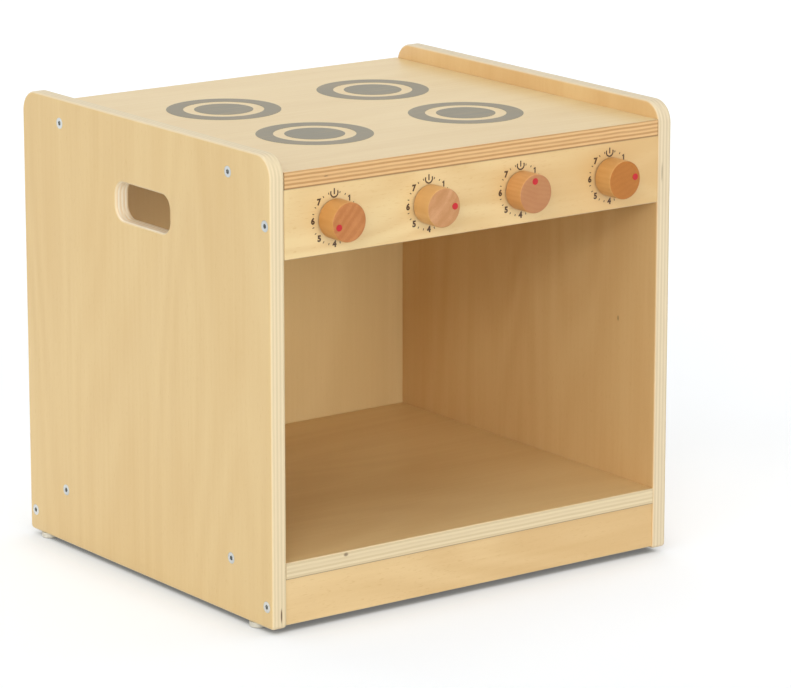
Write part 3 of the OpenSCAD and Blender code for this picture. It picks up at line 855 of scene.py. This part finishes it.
FLOOR_REACH = 15
AIR_WHITE = (1.0, 1.0, 1.0, 1.0)
PAPER_WHITE = (0.965, 0.985, 1.0, 1.0)
PAPER_LIT = (0.78, 0.78, 0.77, 1.0)
PAPER_GLOW = 1.4
GLOW_SHARE = 0.3
AIR_LIGHT = 0.2


def seen_directly(tree):
    """One for rays from the camera, from gloss and through glass, and nought for all others."""
    ray = add(tree, "ShaderNodeLightPath").outputs
    seen = add(
        tree, "ShaderNodeMath", [ray["Is Camera Ray"], ray["Is Glossy Ray"]], operation="MAXIMUM",
    )
    return add(tree, "ShaderNodeMath", [seen, ray["Is Transmission Ray"]], operation="MAXIMUM")


floor_mesh = bpy.data.meshes.new("studio_floor")
floor_corners = [(x * FLOOR_REACH, y * FLOOR_REACH, 0) for x, y in ((-1, -1), (1, -1), (1, 1), (-1, 1))]
floor_mesh.from_pydata(floor_corners, [], [(0, 1, 2, 3)])
floor = bpy.data.objects.new("studio_floor", floor_mesh)
bpy.context.scene.collection.objects.link(floor)
floor_paint, paper = new_material("white studio paper")
paper_directly = seen_directly(paper)

# Contact shades on the paper, each as its reach, open sky at its start and end, strength and colour

contact_shades = [
    (60 * MM, 1.0, 0.3, 0.3, "#8E8F8A"),
    (20 * MM, 0.34, 0.08, 0.36, "#3A3733"),
    (300 * MM, 0.33, 0.1, 0.66, "#3A3733"),
]
paper_seen = PAPER_WHITE
for reach, start, full, strength, shade in contact_shades:
    open_sky = add(paper, "ShaderNodeAmbientOcclusion", {"Distance": reach}, samples=12).outputs["AO"]
    shading = [open_sky, start, full, 0.0, strength]
    dark = add(paper, "ShaderNodeMapRange", shading, interpolation_type="SMOOTHSTEP")
    paper_seen = add(paper, "ShaderNodeMix", {0: dark, 6: paper_seen, 7: colour(shade)}, data_type="RGBA")
paper_tone = add(
    paper, "ShaderNodeMix", {0: paper_directly, 6: PAPER_LIT, 7: paper_seen}, data_type="RGBA",
)
paper_light = add(paper, "ShaderNodeBsdfDiffuse", {"Color": paper_tone})
paper_glow = add(paper, "ShaderNodeEmission", {"Color": paper_seen, "Strength": PAPER_GLOW})
glow_share = add(paper, "ShaderNodeMath", [paper_directly, GLOW_SHARE], operation="MULTIPLY")
paper_mix = add(paper, "ShaderNodeMixShader", [glow_share, paper_light, paper_glow])
add(paper, "ShaderNodeOutputMaterial", {"Surface": paper_mix})
floor_mesh.materials.append(floor_paint)

world = bpy.data.worlds.new("white studio")
bpy.context.scene.world = world
world.use_nodes = True
air = world.node_tree
air.nodes.clear()
soft = add(air, "ShaderNodeBackground", {"Color": AIR_WHITE, "Strength": AIR_LIGHT})
white = add(air, "ShaderNodeBackground", {"Color": AIR_WHITE, "Strength": 1.0})
air_mix = add(air, "ShaderNodeMixShader", [seen_directly(air), soft, white])
add(air, "ShaderNodeOutputWorld", {"Surface": air_mix})


# Studio lamps, each as where it comes from, its strength, its width in degrees and if gloss shows it

lamps = [
    ("overhead_softbox", (0.0, -0.05, 1.0), 0.76, 60.0, True),
    ("low_front_softbox", (0.0, -1.0, 0.08), 1.62, 40.0, False),
    ("left_softbox", (-1.0, -0.1, 0.35), 1.24, 60.0, False),
    ("front_left_softbox", (-0.7, -1.0, 0.45), 0.49, 60.0, False),
    ("front_left_lamp", (-1.0, -1.0, 0.58), 0.45, 12.0, False),
    ("rear_softbox", (0.25, 1.0, 0.4), 0.8, 60.0, False),
    ("right_softbox", (1.0, 0.15, 0.35), 0.95, 60.0, False),
]
for lamp_name, comes_from, strength, spread, glints in lamps:
    lamp_data = bpy.data.lights.new(lamp_name, "SUN")
    lamp_data.energy = strength
    lamp_data.angle = math.radians(spread)
    lamp = bpy.data.objects.new(lamp_name, lamp_data)
    lamp.rotation_euler = Vector(comes_from).to_track_quat("Z", "Y").to_euler()
    lamp.visible_glossy = glints
    bpy.context.scene.collection.objects.link(lamp)


# Camera at the photograph's angle, as fitted to the stove's edges

CAMERA_PLACE = (-2.2339, -3.1224, 1.1335)
CAMERA_LENS = 195.72
SWING = math.radians(36.178)
TILT = math.radians(13.779)
camera_data = bpy.data.cameras.new("camera")
camera_data.sensor_fit = "HORIZONTAL"
camera_data.sensor_width = 36.0
camera_data.lens = CAMERA_LENS
camera_data.clip_end = 100.0
camera = bpy.data.objects.new("camera", camera_data)
ahead = Vector((math.sin(SWING) * math.cos(TILT), math.cos(SWING) * math.cos(TILT), -math.sin(TILT)))
rightward = Vector((math.cos(SWING), -math.sin(SWING), 0.0))
upward = rightward.cross(ahead)
aimed = Matrix((rightward, upward, -ahead)).transposed()
camera.matrix_world = Matrix.Translation(CAMERA_PLACE) @ aimed.to_4x4()
bpy.context.scene.collection.objects.link(camera)
bpy.context.scene.camera = camera
bpy.context.scene.view_settings.view_transform = "Standard"
